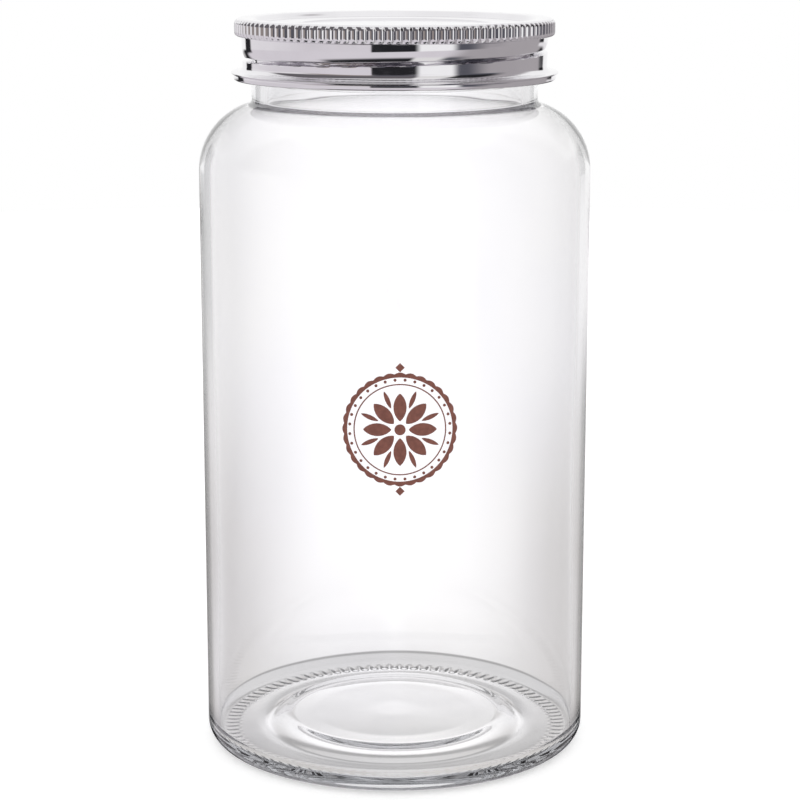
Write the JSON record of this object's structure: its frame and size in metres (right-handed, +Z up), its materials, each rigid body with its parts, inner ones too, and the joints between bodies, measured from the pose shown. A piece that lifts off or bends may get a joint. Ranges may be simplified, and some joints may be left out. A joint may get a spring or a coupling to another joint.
{
  "type": "screw-top food jar",
  "caption": "Tall round clear glass jar with a rolled shoulder, short neck and ribbed standing ring, shut by a sunk-panel metal screw lid with a knurled band.",
  "frame": {"origin": "centre of the underside, level with the tips of the small ribs on which the jar stands", "axes": "+Z up along the jar's axis, out through the lid; -Y is the printed front; +X is to the right seen from the front"},
  "size_m": [0.11, 0.11, 0.208],
  "materials": {
    "clear_glass": "clear, colourless, polished",
    "bright_metal": "bright pressed metal sheet",
    "brown_print": "one-colour ink, satin"
  },
  "bodies": {
    "root": {"jar": "clear_glass", "lid": "bright_metal"}
  },
  "joints": []
}
